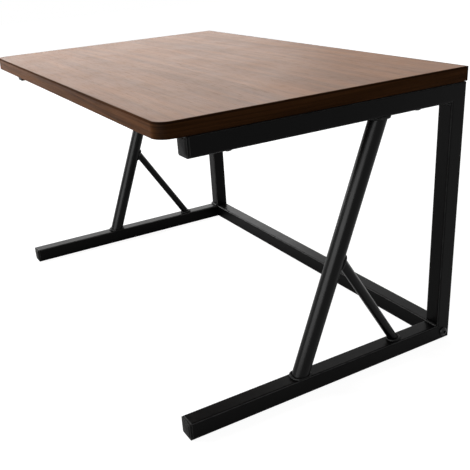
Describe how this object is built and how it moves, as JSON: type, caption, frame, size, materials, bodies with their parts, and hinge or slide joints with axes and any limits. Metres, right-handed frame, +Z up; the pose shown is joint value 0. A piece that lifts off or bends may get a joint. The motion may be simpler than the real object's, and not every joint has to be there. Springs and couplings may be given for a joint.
{
  "type": "printer stand",
  "caption": "Desk stand for a printer: a wood board on two welded side frames of square tube with slanted struts, joined by a cross rail at the rear.",
  "frame": {"origin": "bottom centre of the footprint, on the surface that the stand rests on", "axes": "+X along the board's length to the right-hand frame, +Y to the rear where the uprights and the cross rail are, +Z up"},
  "size_m": [0.5786, 0.356, 0.3243],
  "materials": {
    "walnut_board": "satin laminate with fine walnut grain along its length",
    "edge_banding": "satin edge band with dark walnut grain",
    "powder_coat": "black satin powder coat with a fine texture",
    "cap_plastic": "black moulded plastic",
    "black_steel": "black oxide screw steel",
    "brass": "plain"
  },
  "bodies": {
    "root": {"board_core": "walnut_board", "edge_band_front_and_sides": "edge_banding", "edge_band_rear": "edge_banding", "rear_cross_rail": "powder_coat", "right_bottom_rail": "powder_coat", "right_rear_upright": "powder_coat", "right_top_arm": "powder_coat", "right_slanted_tube": "powder_coat", "right_brace_rod": "powder_coat", "right_weld_slanted_tube_foot": "powder_coat", "right_weld_slanted_tube_top": "powder_coat", "right_weld_brace_foot": "powder_coat", "right_weld_brace_top": "powder_coat", "right_weld_upright_foot": "powder_coat", "right_weld_upright_top": "powder_coat", "right_rail_cap": "cap_plastic", "right_arm_cap": "cap_plastic", "right_cross_rail_nut": "black_steel", "right_frame_screw": "black_steel", "right_front_board_screw": "black_steel", "right_front_board_insert": "brass", "right_rear_board_screw": "black_steel", "right_rear_board_insert": "brass", "left_bottom_rail": "powder_coat", "left_rear_upright": "powder_coat", "left_top_arm": "powder_coat", "left_slanted_tube": "powder_coat", "left_brace_rod": "powder_coat", "left_weld_slanted_tube_foot": "powder_coat", "left_weld_slanted_tube_top": "powder_coat", "left_weld_brace_foot": "powder_coat", "left_weld_brace_top": "powder_coat", "left_weld_upright_foot": "powder_coat", "left_weld_upright_top": "powder_coat", "left_rail_cap": "cap_plastic", "left_arm_cap": "cap_plastic", "left_cross_rail_nut": "black_steel", "left_frame_screw": "black_steel", "left_front_board_screw": "black_steel", "left_front_board_insert": "brass", "left_rear_board_screw": "black_steel", "left_rear_board_insert": "brass"}
  },
  "joints": []
}
